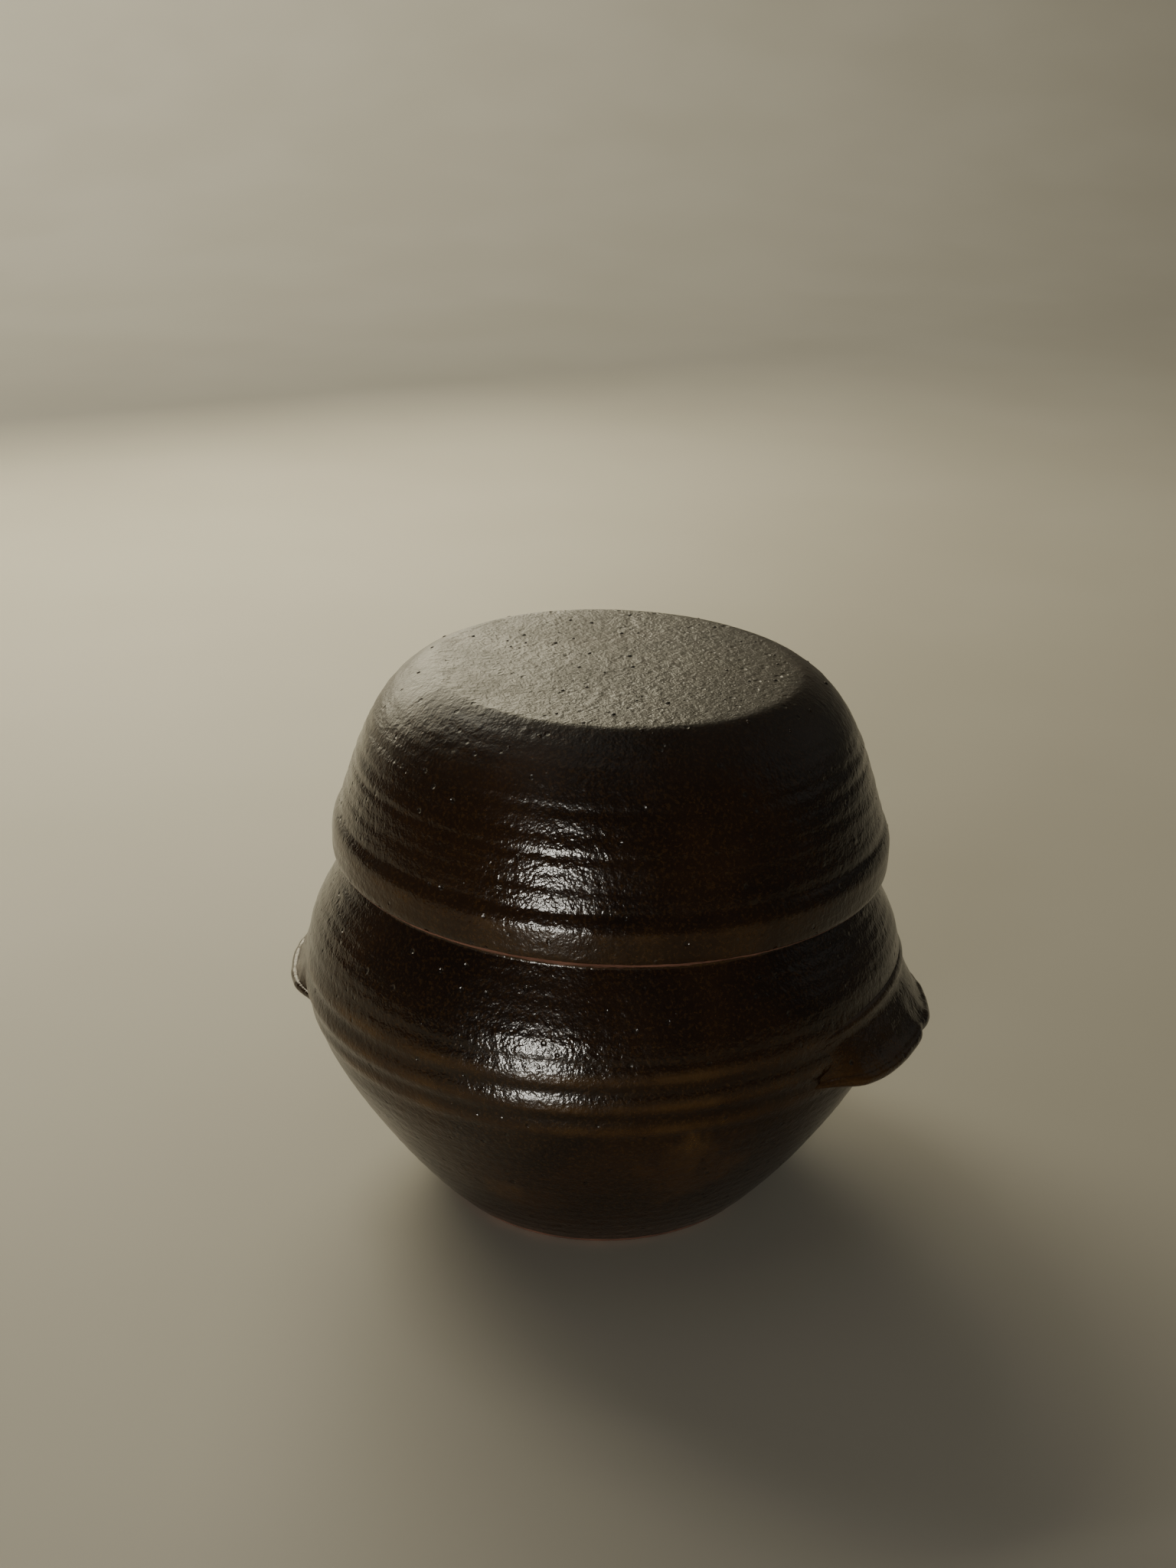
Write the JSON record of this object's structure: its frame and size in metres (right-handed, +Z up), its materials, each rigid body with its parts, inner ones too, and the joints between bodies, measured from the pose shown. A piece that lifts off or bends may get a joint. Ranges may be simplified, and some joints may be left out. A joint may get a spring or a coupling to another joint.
{
  "type": "lidded storage jar",
  "caption": "Small round stoneware jar in dark brown glaze with a deep bowl-shaped flat-topped lid and crescent ear handles at the belly.",
  "frame": {"origin": "centre of the foot, on the surface the jar stands on", "axes": "+Z up along the turning axis, ear handles on +X and -X"},
  "size_m": [0.1684, 0.15, 0.1374],
  "materials": {
    "jar_glaze": "glossy dark brown pitted stoneware glaze, amber where thin, bare reddish clay at the foot and the seat",
    "ear_glaze": "brown glaze over hand-pressed clay, paler along the rim",
    "lid_glaze": "glossy dark brown glaze on the side, matte rough olive brown top, bare reddish clay at the lip"
  },
  "bodies": {
    "jar": {"jar_body": "jar_glaze", "right_ear_handle": "ear_glaze", "left_ear_handle": "ear_glaze"},
    "lid": {"lid": "lid_glaze"}
  },
  "joints": [
    {"name": "lid_lift", "type": "slide", "parent": "jar", "child": "lid", "axis": [0, 0, 1], "range_m": [0, 0.09]}
  ]
}
